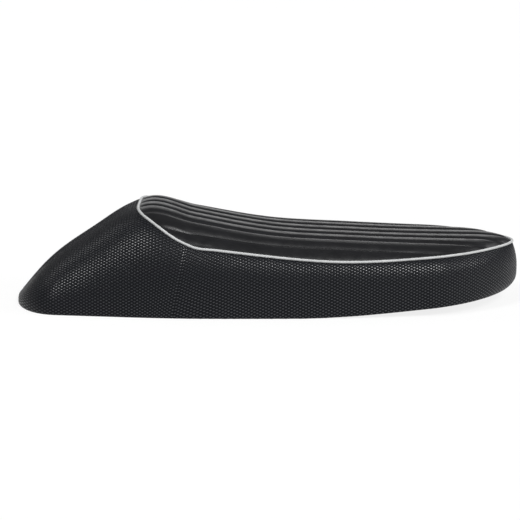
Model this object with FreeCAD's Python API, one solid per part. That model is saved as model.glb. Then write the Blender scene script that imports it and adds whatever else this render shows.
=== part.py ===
import FreeCAD, Part
import math
import os

V = FreeCAD.Vector

# overall form, in mm: X forward, Y to the left, Z up from the flat of the rim
LENGTH = 690.0
WIDTH = 280.0
BODY_HEIGHT = 135.5
NOSE_RISE = 17.5
PAD = 5.0

# lines of the body: (share of the length from the middle, share of the full size)
SIDE_LINE = [(-0.5, 0.764), (-0.355, 0.871), (-0.174, 0.986), (0.0, 1.0), (0.217, 0.950), (0.377, 0.850),
             (0.5, 0.757)]
CREST_LINE = [(-0.5, 0.050), (-0.455, 0.305), (-0.348, 0.716), (-0.283, 0.926), (-0.243, 1.0),
              (-0.145, 0.878), (0.0, 0.746), (0.174, 0.684), (0.42, 0.659), (0.5, 0.672)]
FULLNESS = [(-0.5, 2.0), (-0.232, 2.2), (-0.087, 4.0), (0.087, 5.0), (0.5, 5.0)]
SEAM_LINE = [(-0.55, 1.226), (-0.236, 0.947), (-0.167, 0.751), (-0.142, 0.703), (-0.101, 0.670),
             (0.130, 0.552), (0.377, 0.597), (0.5, 0.613), (0.55, 0.613)]
CROWN = 4.2
REAR_ROUND = 61.0
REAR_POWER = 2.2
NOSE_ROUND = 125.0
NOSE_POWER = 1.75
NOSE_TUCK_TOP = 7.0
NOSE_TUCK_RIM = 14.0
NOSE_FULLEST = 0.42
NOSE_TUCK_RUN = 100.0
RISE_START = 0.05 * LENGTH
RISE_RUN = 0.47 * LENGTH

# cover, piping and pan
COVER = 3.0
JOIN_X = -0.171 * LENGTH
JOIN_LEAN = 10.0
PIPING = 4.4
PIPING_PROUD = 1.8
SHEET = 1.5
HEM = 1.4
HEM_HEIGHT = 24.0
EDGE_GAP = 0.4
DECK = 28.0
BEAD_RADIUS = 6.0
BEAD_SIDE = 0.207 * WIDTH
BEAD_REAR = -0.312 * LENGTH
BEAD_FRONT = 0.065 * LENGTH
POCKET = (150.0, 84.0, 12.0)
POCKET_X = 0.043 * LENGTH
POCKET_CORNER = 14.0
POCKET_EDGE = 6.0
VENT_RADIUS = 6.0
VENTS = [(-0.174, 0.0), (-0.290, 0.15), (-0.290, -0.15), (0.246, 0.0)]

# front hinge
HINGE_X = LENGTH / 2 - 67.0
HINGE_PAD = (72.0, 78.0)
HINGE_DROP = 21.0
HINGE_SHEET = 2.5
HINGE_GAP = 52.0
CHEEK_RADIUS = 10.0
BRACKET_REAR = 30.0
BRACKET_FRONT = 22.0
HINGE_BOLT_X = 15.0
HINGE_BOLT_Y = 15.0
PIN_RADIUS = 4.0
PIN_CLEARANCE = 0.06
PIN_FIT = 0.03
PIN_HEAD_RADIUS = 6.5
PIN_HEAD = 2.5
PIN_TAIL = 5.5
KNUCKLE_RADIUS = 7.0
KNUCKLE_SIDE_GAP = 0.5
LEAF_REACH = 62.0
LEAF_HOLE_RADIUS = 3.3
LEAF_HOLE_SPACING = 30.0
LEAF_HOLE_X = 46.0
CLIP = 1.0
CLIP_RADIUS = 7.5
CLIP_GROOVE = 3.2

# rear catch
CATCH_X = 87.0 - LENGTH / 2
CATCH_BAR_RADIUS = 4.0
CATCH_SPAN = 40.0
CATCH_BEND = 9.0
CATCH_BAR_Z = 9.0
CATCH_PLATE = (44.0, 88.0, 2.5)
CATCH_BOLT_Y = 34.0

# bolts with weld nuts on the pan
BOLT_RADIUS = 3.0
BOLT_HOLE_RADIUS = 3.3
BOLT_FLATS = 10.0
BOLT_HEAD = 4.0
BOLT_PAST_NUT = 2.0
WASHER_RADIUS = 6.2
WASHER = 1.6
NUT_HEIGHT = 6.0
NUT_CLEARANCE = 0.05
FOAM_CLEARANCE = 0.4

# rubber buffers
BUFFER_RADIUS = 13.0
BUFFER_NECK = 4.4
BUFFER_BARB = 6.5
BUFFER_ABOVE_RIM = 3.0
BUFFER_FRONT_X = 0.239 * LENGTH
BUFFER_REAR_X = -0.217 * LENGTH
BUFFER_Y = 0.3 * WIDTH
BUFFER_PAD = 18.0
PAD_STEP = 1.0

# rivets of the hem
RIVET_RADIUS = 2.0
RIVET_HEAD_RADIUS = 4.5
RIVET_HEAD = 1.4
RIVET_HEIGHT = 14.0
RIVET_COUNT = 9
RIVET_END = LENGTH / 2 - 75.0
RIVET_TAIL = 27.0 - LENGTH / 2
RIVET_NOSE = LENGTH / 2 - 23.0
RIVET_CLEARANCE = 0.05
RIVET_SINK = 0.4
RIVET_SHORT = 0.4

# fineness of the body's surface
STATIONS = 30
STEPS = 11
BELOW = 10.0
FAR = 2.0 * LENGTH


def smooth(line, size):
    """A smooth curve through a few stations, as a function of x."""
    xs = [a * LENGTH for a, b in line]
    zs = [b * size for a, b in line]
    rises = [(zs[i + 1] - zs[i]) / (xs[i + 1] - xs[i]) for i in range(len(xs) - 1)]
    slopes = [rises[0]]
    for i in range(1, len(rises)):
        before = xs[i] - xs[i - 1]
        after = xs[i + 1] - xs[i]
        slopes.append((rises[i - 1] * after + rises[i] * before) / (before + after))
    slopes.append(rises[-1])

    def value(x):
        i = 0
        while i < len(xs) - 2 and x > xs[i + 1]:
            i += 1
        run = xs[i + 1] - xs[i]
        t = min(max((x - xs[i]) / run, 0.0), 1.0)
        start = (1 + 2 * t) * (1 - t) ** 2 * zs[i] + t * (1 - t) ** 2 * run * slopes[i]
        end = t * t * (3 - 2 * t) * zs[i + 1] + t * t * (t - 1) * run * slopes[i + 1]
        return start + end

    return value


side_line = smooth(SIDE_LINE, WIDTH / 2)
crest_line = smooth(CREST_LINE, BODY_HEIGHT)
fullness = smooth(FULLNESS, 1.0)
seam_line = smooth(SEAM_LINE, BODY_HEIGHT)


def rim_line(x):
    """Height of the rim's lower edge: flat at the rear, rising to the nose."""
    t = min(max((x - RISE_START) / RISE_RUN, 0.0), 1.0)
    return NOSE_RISE * t * t * (3 - 2 * t)


def deck_line(x):
    return rim_line(x) + DECK


def rim_half(x):
    """Half width of the rim in plan, with both ends rounded."""
    rear = min(max((REAR_ROUND - LENGTH / 2 - x) / REAR_ROUND, 0.0), 1.0)
    nose = min(max((x - LENGTH / 2 + NOSE_ROUND) / NOSE_ROUND, 0.0), 1.0)
    rear_part = (1 - rear ** REAR_POWER) ** (1 / REAR_POWER)
    nose_part = (1 - nose ** NOSE_POWER) ** (1 / NOSE_POWER)
    return side_line(x) * rear_part * nose_part


def rounded(angle, power):
    """Point of the section's rounded outline in a direction, both sizes being 1."""
    low, high = 0.0, 2.0
    for _ in range(40):
        r = (low + high) / 2
        if (r * math.cos(angle)) ** CROWN + (r * math.sin(angle)) ** power > 1:
            high = r
        else:
            low = r
    return r * math.cos(angle), r * math.sin(angle)


def surface_point(u, v, lift):
    """Left half of the body: u from the tail to the nose, v from the rim up to the crest."""
    x = -LENGTH / 2 * math.cos(math.pi * u)
    rim = rim_line(x)
    half = rim_half(x)
    across, up = rounded(max(v, 0.0) * math.pi / 2, fullness(x))
    if v >= 1:
        across = 0.0
    near_nose = min(max((x - LENGTH / 2 + NOSE_TUCK_RUN) / NOSE_TUCK_RUN, 0.0), 1.0) ** 2
    z = rim + (crest_line(x) + lift * (1 - near_nose) - rim) * up
    if v < 0:
        z = rim + (rim + BELOW) * v
    above = min(max((up - NOSE_FULLEST) / (1 - NOSE_FULLEST), 0.0), 1.0)
    under = min(max((NOSE_FULLEST - up) / NOSE_FULLEST, 0.0), 1.0)
    tuck = near_nose * (NOSE_TUCK_TOP * above ** 2 + NOSE_TUCK_RIM * under ** 2)
    return V(x - tuck, half * across, z)


def inward_point(u, v, lift, inset):
    """The same point moved in along the surface's normal."""
    point = surface_point(u, v, lift)
    du = 0.002
    a = min(max(u, du), 1 - du)
    b = min(v, 1 - du)
    along = surface_point(a + du, b, lift) - surface_point(a - du, b, lift)
    up = surface_point(a, b + du, lift) - surface_point(a, b - du, lift)
    normal = up.cross(along)
    normal.normalize()
    moved = point - normal * inset
    if v >= 1 or u <= 0 or u >= 1:
        moved.y = 0.0
    return moved


def body(inset=0.0, lift=0.0):
    """The closed body, reaching below the rim; inset moves its skin inwards."""
    rows = []
    for i in range(STATIONS + 1):
        row = [inward_point(i / STATIONS, j / STEPS, lift, inset) for j in range(STEPS + 1)]
        foot = V(row[0].x, row[0].y, -BELOW)
        rows.append([foot] + row)
    skin = Part.BSplineSurface()
    skin.interpolate(rows)
    left = skin.toShape()
    right = left.mirror(V(0, 0, 0), V(0, 1, 0))
    lower = [e for e in left.Edges + right.Edges if e.BoundBox.ZMax < -BELOW + 0.001]
    floor = Part.Face(Part.Wire(lower))
    shell = Part.Shell([left, right, floor])
    solid = Part.Solid(shell)
    if solid.Volume < 0:
        solid.reverse()
    return solid


def side_region(line, offset, top):
    """Everything above or below a line of the side view, over the whole width."""
    count = 44
    xs = [LENGTH * (1.1 * i / count - 0.55) for i in range(count + 1)]
    points = [V(x, -FAR, line(x) + offset) for x in xs]
    curve = Part.BSplineCurve()
    curve.interpolate(points)
    far_z = FAR if top else -FAR
    first = V(points[0].x, -FAR, far_z)
    last = V(points[-1].x, -FAR, far_z)
    sides = [Part.makeLine(points[-1], last), Part.makeLine(last, first), Part.makeLine(first, points[0])]
    return Part.Face(Part.Wire([curve.toShape()] + sides)).extrude(V(0, 2 * FAR, 0))


def nest(outer, inner):
    """The wall between two closed bodies that share the plane below the rim."""
    walls = [f for f in outer.Faces if f.BoundBox.ZMax >= -BELOW + 0.01]
    walls += [f.reversed() for f in inner.Faces if f.BoundBox.ZMax >= -BELOW + 0.01]
    rings = []
    for shape in (outer, inner):
        rings += [f.OuterWire for f in shape.Faces if f.BoundBox.ZMax < -BELOW + 0.01]
    floor = Part.makeFace(rings, "Part::FaceMakerBullseye")
    if floor.normalAt(0, 0).z > 0:
        floor = floor.reversed()
    return Part.Solid(Part.Shell(walls + [floor]))


def above(line, offset=0.0):
    return side_region(line, offset, True)


def below(line, offset=0.0):
    return side_region(line, offset, False)


def upright(x, y, low, high, radius):
    return Part.makeCylinder(radius, high - low, V(x, y, low))


def crosswise(x, z, left, right, radius):
    return Part.makeCylinder(radius, right - left, V(x, left, z), V(0, 1, 0))


def hexagon(x, y, low, high, flats):
    radius = flats / math.sqrt(3)
    turns = [k * math.pi / 3 for k in range(6)]
    corners = [V(x + radius * math.cos(t), y + radius * math.sin(t), low) for t in turns]
    return Part.Face(Part.makePolygon(corners + [corners[0]])).extrude(V(0, 0, high - low))


def rounded_block(x, y, size_x, size_y, low, high, corner, top_edge=0.0):
    """A block centred on x, y with round upright corners and, if wanted, a round top edge."""
    block = Part.makeBox(size_x, size_y, high - low, V(x - size_x / 2, y - size_y / 2, low))
    uprights = [e for e in block.Edges if e.BoundBox.ZLength > 0.9 * (high - low)]
    block = block.makeFillet(corner, uprights)
    if top_edge > 0:
        block = block.makeFillet(top_edge, [e for e in block.Edges if e.BoundBox.ZMin > high - 0.01])
    return block


def buffer_places():
    places = []
    for end, x in (("front", BUFFER_FRONT_X), ("rear", BUFFER_REAR_X)):
        for side, y in (("left", BUFFER_Y), ("right", -BUFFER_Y)):
            places.append((end + "_" + side, x, y))
    return places


def buffer_deck(x):
    """Top of the flat pad that is pressed into the deck for a buffer."""
    return deck_line(x + BUFFER_PAD) + PAD_STEP


def hinge_deck():
    return deck_line(HINGE_X + HINGE_PAD[0] / 2) + PAD_STEP


def catch_bolt_places():
    return [(CATCH_X, side * CATCH_BOLT_Y, deck_line(CATCH_X)) for side in (-1, 1)]


def hinge_bolt_places():
    places = [(along, side) for along in (-1, 1) for side in (-1, 1)]
    return [(HINGE_X + a * HINGE_BOLT_X - 4, s * HINGE_BOLT_Y, hinge_deck()) for a, s in places]


def pressings(inset):
    """Raised shapes of the deck: beads, the hollow over the filler cap, pads of the hinge and the buffers."""
    shapes = []
    for side in (-1, 1):
        axis_z = DECK - SHEET
        radius = BEAD_RADIUS - inset
        start = V(BEAD_REAR, side * BEAD_SIDE, axis_z)
        shapes.append(Part.makeCylinder(radius, BEAD_FRONT - BEAD_REAR, start, V(1, 0, 0)))
        shapes.append(Part.makeSphere(radius, start))
        shapes.append(Part.makeSphere(radius, V(BEAD_FRONT, side * BEAD_SIDE, axis_z)))
    low = DECK / 2
    size_x, size_y, height = POCKET
    shapes.append(rounded_block(POCKET_X, 0, size_x - 2 * inset, size_y - 2 * inset, low,
                                DECK + height - inset, POCKET_CORNER - inset, POCKET_EDGE - inset))
    shapes.append(rounded_block(HINGE_X, 0, HINGE_PAD[0] - 2 * inset, HINGE_PAD[1] - 2 * inset, low,
                                hinge_deck() - inset, 8.0 - inset))
    for name, x, y in buffer_places():
        shapes.append(upright(x, y, low, buffer_deck(x) - inset, BUFFER_PAD - inset))
    return shapes


def pan_block(skin, inset):
    """The pan's outside (or, moved in by the sheet, its inside) as a full block."""
    block = skin.cut(above(deck_line, -inset))
    return block.fuse(pressings(inset)).removeSplitter()


def rivet_frames():
    """Seats of the rivet heads, pressed a little into the hem, with the outward normal, all round the rim."""
    depth = COVER + SHEET + HEM - RIVET_SINK
    stations = [-RIVET_END + 2 * RIVET_END * i / (RIVET_COUNT - 1) for i in range(RIVET_COUNT)]
    frames = []
    for x in [RIVET_TAIL] + stations + [RIVET_NOSE]:
        u = math.acos(-2 * x / LENGTH) / math.pi
        low, high = 0.0, 1.0
        for _ in range(40):
            v = (low + high) / 2
            if inward_point(u, v, 0, depth).z > rim_line(x) + RIVET_HEIGHT:
                high = v
            else:
                low = v
        point = inward_point(u, v, 0, depth)
        outward = inward_point(u, v, 0, 0) - point
        outward.normalize()
        frames.append((point, outward))
        frames.append((V(point.x, -point.y, point.z), V(outward.x, -outward.y, outward.z)))
    return frames


def rivet_holes():
    """Holes through the hem and the pan, reaching past both faces."""
    depth = HEM + SHEET + 2 * RIVET_HEAD
    radius = RIVET_RADIUS + RIVET_CLEARANCE
    return [Part.makeCylinder(radius, depth, p - n * RIVET_HEAD, n) for p, n in rivet_frames()]


def rivet_beds():
    """Where the rivet heads sink into the vinyl."""
    radius = RIVET_HEAD_RADIUS + RIVET_CLEARANCE
    return [Part.makeCylinder(radius, RIVET_HEAD, p, n * -1) for p, n in rivet_frames()]


def make_base_pan(outer, inner):
    pan = nest(outer, inner).cut(below(rim_line, EDGE_GAP))
    holes = [upright(a * LENGTH, b * WIDTH, 0, FAR, VENT_RADIUS) for a, b in VENTS]
    holes += [upright(x, y, 0, FAR, BUFFER_NECK) for name, x, y in buffer_places()]
    bolts = catch_bolt_places() + hinge_bolt_places()
    holes += [upright(x, y, 0, FAR, BOLT_HOLE_RADIUS) for x, y, z in bolts]
    return pan.cut(holes + rivet_holes())


def make_foam(core, pan_outer):
    foam = core.cut(below(deck_line)).cut(pan_outer)
    nut = BOLT_FLATS / math.sqrt(3) + FOAM_CLEARANCE
    rooms = [upright(x, y, z, z + NUT_HEIGHT + BOLT_PAST_NUT + FOAM_CLEARANCE, nut)
             for x, y, z in catch_bolt_places() + hinge_bolt_places()]
    barb = BUFFER_BARB + FOAM_CLEARANCE
    rooms += [upright(x, y, buffer_deck(x), buffer_deck(x) + BUFFER_BARB + 1 + FOAM_CLEARANCE, barb)
              for name, x, y in buffer_places()]
    return foam.cut(rooms)


def make_top_cover(padded, core):
    return nest(padded, core).cut(below(seam_line, PIPING / 2))


def make_woven_cover(skin, core):
    """The woven-look cover in one, before it is parted into its two panels."""
    return nest(skin, core).cut(below(rim_line)).cut(above(seam_line, -PIPING / 2))


def behind_join():
    """Everything behind the leaning seam between the tail panel and the side panel."""
    lean = math.tan(math.radians(JOIN_LEAN))
    half = BODY_HEIGHT / 2
    low = V(JOIN_X - lean * BODY_HEIGHT, -FAR, -half)
    high = V(JOIN_X + lean * BODY_HEIGHT, -FAR, half + BODY_HEIGHT)
    edge = [low, high, V(-FAR, -FAR, high.z), V(-FAR, -FAR, low.z), low]
    return Part.Face(Part.makePolygon(edge)).extrude(V(0, 2 * FAR, 0))


def make_hem_strip(pan_inside, hem_inside):
    """Lower edge of the cover, turned in behind the pan's flange."""
    strip = nest(pan_inside, hem_inside).cut(below(rim_line)).cut(above(rim_line, HEM_HEIGHT))
    return strip.cut(rivet_holes() + rivet_beds())


def make_piping(proud, core):
    return nest(proud, core).cut(above(seam_line, PIPING / 2)).cut(below(seam_line, -PIPING / 2))


def pin_axis():
    return hinge_deck() - SHEET - HINGE_DROP


def make_hinge_bracket():
    top = hinge_deck() - SHEET
    outer = HINGE_GAP + 2 * HINGE_SHEET
    length = BRACKET_REAR + BRACKET_FRONT
    web = Part.makeBox(length, outer, HINGE_SHEET, V(HINGE_X - BRACKET_REAR, -outer / 2, top - HINGE_SHEET))
    shape = web
    for side in (-1, 1):
        y = HINGE_GAP / 2 if side > 0 else -outer / 2
        axis = V(HINGE_X, y, pin_axis())
        foot = V(HINGE_X - BRACKET_REAR, y, top)
        toe = V(HINGE_X + BRACKET_FRONT, y, top)
        edge = [foot, toe, V(axis.x + CHEEK_RADIUS, y, axis.z), V(axis.x - CHEEK_RADIUS, y, axis.z), foot]
        cheek = Part.Face(Part.makePolygon(edge)).extrude(V(0, HINGE_SHEET, 0))
        cheek = cheek.fuse(crosswise(axis.x, axis.z, y, y + HINGE_SHEET, CHEEK_RADIUS))
        shape = shape.fuse(cheek)
    shape = shape.removeSplitter()
    low = top - 2 * HINGE_SHEET
    holes = [upright(x, y, low, top + 1, BOLT_HOLE_RADIUS) for x, y, z in hinge_bolt_places()]
    holes.append(crosswise(HINGE_X, pin_axis(), -outer, outer, PIN_RADIUS + PIN_FIT))
    return shape.cut(holes)


def make_hinge_leaf():
    """Frame side of the hinge: a plate rolled round the pin."""
    half = HINGE_GAP / 2 - KNUCKLE_SIDE_GAP
    z = pin_axis() - KNUCKLE_RADIUS
    plate = Part.makeBox(LEAF_REACH, 2 * half, HINGE_SHEET, V(HINGE_X - LEAF_REACH, -half, z))
    corners = [e for e in plate.Edges if e.BoundBox.ZLength > 1 and e.BoundBox.XMax < HINGE_X - 1]
    plate = plate.makeFillet(9.0, corners)
    leaf = plate.fuse(crosswise(HINGE_X, pin_axis(), -half, half, KNUCKLE_RADIUS)).removeSplitter()
    holes = [crosswise(HINGE_X, pin_axis(), -FAR, FAR, PIN_RADIUS + PIN_CLEARANCE)]
    for side in (-1, 1):
        y = side * LEAF_HOLE_SPACING / 2
        holes.append(upright(HINGE_X - LEAF_HOLE_X, y, z - 1, z + HINGE_SHEET + 1, LEAF_HOLE_RADIUS))
    return leaf.cut(holes)


def clip_place():
    return HINGE_GAP / 2 + HINGE_SHEET + 0.3


def make_hinge_pin():
    outside = HINGE_GAP / 2 + HINGE_SHEET
    pin = crosswise(HINGE_X, pin_axis(), -outside, outside + PIN_TAIL, PIN_RADIUS)
    pin = pin.makeChamfer(0.8, [e for e in pin.Edges if e.BoundBox.YMin > outside + PIN_TAIL - 0.01])
    head = crosswise(HINGE_X, pin_axis(), -outside - PIN_HEAD, -outside, PIN_HEAD_RADIUS)
    head = head.makeChamfer(1.0, [e for e in head.Edges if e.BoundBox.YMax < -outside - PIN_HEAD + 0.01])
    y = clip_place()
    groove = crosswise(HINGE_X, pin_axis(), y, y + CLIP, PIN_RADIUS + 1)
    groove = groove.cut(crosswise(HINGE_X, pin_axis(), y, y + CLIP, CLIP_GROOVE))
    return pin.fuse(head).removeSplitter().cut(groove)


def make_hinge_clip():
    y = clip_place()
    ring = crosswise(HINGE_X, pin_axis(), y, y + CLIP, CLIP_RADIUS)
    ring = ring.cut(crosswise(HINGE_X, pin_axis(), y, y + CLIP, CLIP_GROOVE))
    slot = Part.makeBox(2 * CLIP_GROOVE - 1, CLIP, CLIP_RADIUS + 1,
                        V(HINGE_X - CLIP_GROOVE + 0.5, y, pin_axis() - CLIP_RADIUS - 1))
    return ring.cut(slot)


def bolt_seats():
    """Washer faces of all bolts: x, y, underside of the clamped plate, top of the deck."""
    hinge = [(x, y, z - SHEET - HINGE_SHEET, z) for x, y, z in hinge_bolt_places()]
    catch = [(x, y, z - SHEET - CATCH_PLATE[2], z) for x, y, z in catch_bolt_places()]
    return hinge, catch


def make_bolts(seats):
    bolts = []
    for x, y, seat, deck in seats:
        under = seat - WASHER
        head = hexagon(x, y, under - BOLT_HEAD, under, BOLT_FLATS)
        shank = upright(x, y, under, deck + NUT_HEIGHT + BOLT_PAST_NUT, BOLT_RADIUS)
        bolts.append(head.fuse(shank).removeSplitter())
    return Part.Compound(bolts)


def make_washers(seats):
    rings = []
    for x, y, seat, deck in seats:
        disc = upright(x, y, seat - WASHER, seat, WASHER_RADIUS)
        rings.append(disc.cut(upright(x, y, seat - WASHER, seat, BOLT_HOLE_RADIUS)))
    return Part.Compound(rings)


def make_weld_nuts(seats):
    nuts = []
    for x, y, seat, deck in seats:
        nut = hexagon(x, y, deck, deck + NUT_HEIGHT, BOLT_FLATS)
        nuts.append(nut.cut(upright(x, y, deck, deck + NUT_HEIGHT, BOLT_RADIUS + NUT_CLEARANCE)))
    return Part.Compound(nuts)


def make_catch_plate():
    top = deck_line(CATCH_X) - SHEET
    size_x, size_y, thick = CATCH_PLATE
    plate = rounded_block(CATCH_X, 0, size_x, size_y, top - thick, top, 8.0)
    holes = [upright(x, y, 0, FAR, BOLT_HOLE_RADIUS) for x, y, z in catch_bolt_places()]
    holes += [upright(CATCH_X, side * CATCH_SPAN / 2, 0, FAR, CATCH_BAR_RADIUS) for side in (-1, 1)]
    return plate.cut(holes)


def make_catch_bar():
    """Bent rod: two legs in the plate, a round bar across below."""
    top = deck_line(CATCH_X) - SHEET
    half = CATCH_SPAN / 2
    low = CATCH_BAR_Z
    turn = CATCH_BEND
    cut_off = turn * (1 - math.sqrt(0.5))
    left_leg = Part.makeLine(V(CATCH_X, -half, top), V(CATCH_X, -half, low + turn))
    left_bend = Part.Arc(V(CATCH_X, -half, low + turn), V(CATCH_X, -half + cut_off, low + cut_off),
                         V(CATCH_X, -half + turn, low)).toShape()
    bar = Part.makeLine(V(CATCH_X, -half + turn, low), V(CATCH_X, half - turn, low))
    right_bend = Part.Arc(V(CATCH_X, half - turn, low), V(CATCH_X, half - cut_off, low + cut_off),
                          V(CATCH_X, half, low + turn)).toShape()
    right_leg = Part.makeLine(V(CATCH_X, half, low + turn), V(CATCH_X, half, top))
    path = Part.Wire([left_leg, left_bend, bar, right_bend, right_leg])
    circle = Part.Wire(Part.makeCircle(CATCH_BAR_RADIUS, V(CATCH_X, -half, top), V(0, 0, 1)))
    return path.makePipeShell([circle], True, True)


def make_buffer(x, y):
    """Rubber foot with a neck and a barb that snaps in above the deck."""
    deck = buffer_deck(x)
    under = deck - SHEET
    low = rim_line(x) + BUFFER_ABOVE_RIM
    foot = upright(x, y, low, under, BUFFER_RADIUS)
    foot = foot.makeChamfer(2.0, [e for e in foot.Edges if e.BoundBox.ZMax < low + 0.01])
    neck = upright(x, y, under, deck, BUFFER_NECK)
    barb = Part.makeCone(BUFFER_BARB, BUFFER_NECK - 1, BUFFER_BARB + 1, V(x, y, deck))
    return foot.fuse([neck, barb]).removeSplitter()


def make_rivets():
    rivets = []
    for point, outward in rivet_frames():
        head = Part.makeCylinder(RIVET_HEAD_RADIUS, RIVET_HEAD, point, outward * -1)
        shank = Part.makeCylinder(RIVET_RADIUS, HEM + SHEET - RIVET_SINK - RIVET_SHORT, point, outward)
        rivets.append(head.fuse(shank).removeSplitter())
    return Part.Compound(rivets)


def make_parts():
    core = body(COVER)
    pan_inside = body(COVER + SHEET)
    pan_outer = pan_block(core, 0.0)
    pan_inner = pan_block(pan_inside, SHEET)
    woven = make_woven_cover(body(), core)
    hinge_seats, catch_seats = bolt_seats()
    parts = {
        "base_pan": make_base_pan(pan_outer, pan_inner),
        "foam_core": make_foam(core, pan_outer),
        "top_cover": make_top_cover(body(0.0, PAD), core),
        "tail_cover": woven.common(behind_join()),
        "side_cover": woven.cut(behind_join()),
        "hem_strip": make_hem_strip(pan_inside, body(COVER + SHEET + HEM)),
        "piping": make_piping(body(-PIPING_PROUD), core),
        "hem_rivets": make_rivets(),
        "hinge_bracket": make_hinge_bracket(),
        "hinge_leaf": make_hinge_leaf(),
        "hinge_pin": make_hinge_pin(),
        "hinge_clip": make_hinge_clip(),
        "hinge_bolts": make_bolts(hinge_seats),
        "hinge_washers": make_washers(hinge_seats),
        "catch_plate": make_catch_plate(),
        "catch_bar": make_catch_bar(),
        "catch_bolts": make_bolts(catch_seats),
        "catch_washers": make_washers(catch_seats),
        "weld_nuts": make_weld_nuts(hinge_seats + catch_seats),
    }
    for name, x, y in buffer_places():
        parts["buffer_" + name] = make_buffer(x, y)
    return parts


os.makedirs("parts", exist_ok=True)
for node, shape in make_parts().items():
    shape.exportStep("parts/" + node + ".step")
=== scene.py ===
import math

import bpy
import numpy as np
from bpy.props import FloatProperty, FloatVectorProperty, IntProperty, PointerProperty
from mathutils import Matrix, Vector


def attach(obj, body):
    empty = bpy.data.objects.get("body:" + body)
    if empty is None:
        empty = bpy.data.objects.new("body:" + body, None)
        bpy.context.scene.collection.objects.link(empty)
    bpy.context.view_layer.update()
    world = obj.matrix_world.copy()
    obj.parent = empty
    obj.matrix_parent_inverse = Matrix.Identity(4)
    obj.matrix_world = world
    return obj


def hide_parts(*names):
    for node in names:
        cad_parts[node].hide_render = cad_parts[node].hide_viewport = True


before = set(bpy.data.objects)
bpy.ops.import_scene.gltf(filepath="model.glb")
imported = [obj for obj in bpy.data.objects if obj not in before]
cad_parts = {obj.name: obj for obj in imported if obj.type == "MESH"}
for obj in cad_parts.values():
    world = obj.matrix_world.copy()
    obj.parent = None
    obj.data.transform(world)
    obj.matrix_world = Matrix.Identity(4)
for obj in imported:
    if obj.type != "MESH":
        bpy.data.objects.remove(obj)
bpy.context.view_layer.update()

bl_info = {
    "name": "Scooter Seat Upholstery",
    "version": (1, 0, 0),
    "blender": (4, 5, 0),
    "location": "View3D > Sidebar > Seat",
    "description": "Dresses the frame of a scooter seat with its covers, piping, hardware and stage",
    "category": "Object",
}

# seat body, in metres; a line's stations are shares of the length, its values of half width or height
LENGTH = 0.690
WIDTH = 0.280
BODY_HEIGHT = 0.1355
NOSE_RISE = 0.0175
SIDE_LINE = [(-0.5, 0.764), (-0.355, 0.871), (-0.174, 0.986), (0.0, 1.0), (0.217, 0.950), (0.377, 0.850),
             (0.5, 0.757)]
CREST_LINE = [(-0.5, 0.050), (-0.455, 0.305), (-0.348, 0.716), (-0.283, 0.926), (-0.243, 1.0),
              (-0.145, 0.878), (0.0, 0.740), (0.174, 0.680), (0.42, 0.647),
              (0.5, 0.648)]  # up to 3.3 mm under the solid model's
FULLNESS = [(-0.5, 2.0), (-0.232, 2.2), (-0.087, 4.0), (0.087, 5.0), (0.5, 5.0)]  # powers of the section
SEAM_LINE = [(-0.55, 1.226), (-0.236, 0.935), (-0.167, 0.733), (-0.142, 0.685), (-0.101, 0.660),
             (0.130, 0.548), (0.377, 0.578), (0.5, 0.600),
             (0.55, 0.600)]  # up to 2.6 mm under the solid model's
CROWN = 4.2  # power of the section across
REAR_ROUND = 0.061
REAR_POWER = 2.2
NOSE_ROUND = 0.125
NOSE_POWER = 1.75
NOSE_TUCK_TOP = 0.0105  # 3.5 mm more than the solid model's
NOSE_TUCK_RIM = 0.014
NOSE_FULLEST = 0.42  # share of the height
NOSE_TUCK_RUN = 0.100
RISE_START = 0.05 * LENGTH
RISE_RUN = 0.47 * LENGTH
BODY_MIDDLE = Vector((0.0, 0.0, 0.03))

# searches, tolerances and directions
HALVINGS = 34
RIDGE_FRONT = -0.22 * LENGTH  # the seam crosses the ridge between these two stations
RIDGE_REAR = -0.30 * LENGTH
RIDGE_HALVINGS = 50
TINY = 1e-12
ON_MIDDLE = 1e-7  # closer to the middle plane counts as on it
NORMAL_STEP_X = 2e-5
NORMAL_STEP_V = 2e-3
SEAM_FINENESS = 6  # points of the first search per point of a seam
MIRROR = np.array([1.0, -1.0, 1.0])
UP = np.array([0.0, 0.0, 1.0])

# turned-in lower edge of the side panels
HEM_DEPTH = 0.0059
HEM_HEIGHT = 0.024
HEM_SHARE = 0.6  # of the side's height at most
HEM_ROUND = 0.0015
HEM_ARC = HEM_ROUND * math.pi / 2
HEM_FLAT = HEM_DEPTH - 2 * HEM_ROUND

# join between the tail panel and the side band, and how deep the panels are drawn in at their seams
JOIN_X = -0.118
JOIN_LEAN = 0.017
JOIN_HEIGHT = 0.095
JOIN_REACH = 0.035
JOIN_DRAW = 0.0006
JOIN_DRAW_HEM = 0.0002
JOIN_DRAW_RUN = 0.0012
SEAM_DRAW = 0.0022
SEAM_DRAW_RUN = 0.0014

# embossing, and vertices per strand
UPRIGHT_SHARE = 0.45  # height of the upright strands against the level ones
STRAND_POWER = 0.5  # less is fuller
BUMP_SHARE = 0.8  # of the relief
COLUMNS_PER_STRAND = 3
ROWS_PER_STRAND = 2

# stations of the panels, with extra ones at the tail's tip and where the seam crosses the ridge
GIRTH_POINTS = 240
TIP_STEPS = (0.0009, 0.0006, 0.00035, 0.00018, 0.00007, 0.00002)
RIDGE_RUN = 0.0018
RIDGE_STATIONS = 12
RIDGE_POWER = 4
BAND_POINTS = 2000
NOSE_POINTS = 8000
BAND_LEVEL = 0.35  # share of the way up where the band's way round is measured

# climb of the band's strands from the join forward, where it ends and the length over which it eases off
CLIMB = 0.15
CLIMB_END = 0.16
CLIMB_RUN = 0.205

# foam under the covers: where its top and its nose begin, how far they sink, draw back and narrow
FOAM_TOP = 0.045
FOAM_TOP_RUN = 0.02
FOAM_NOSE = 0.24
FOAM_NOSE_RUN = 0.05
FOAM_SINK = 0.002
FOAM_NOSE_SINK = 0.009
FOAM_NOSE_BACK = 0.006
FOAM_NARROW = 0.02

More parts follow.
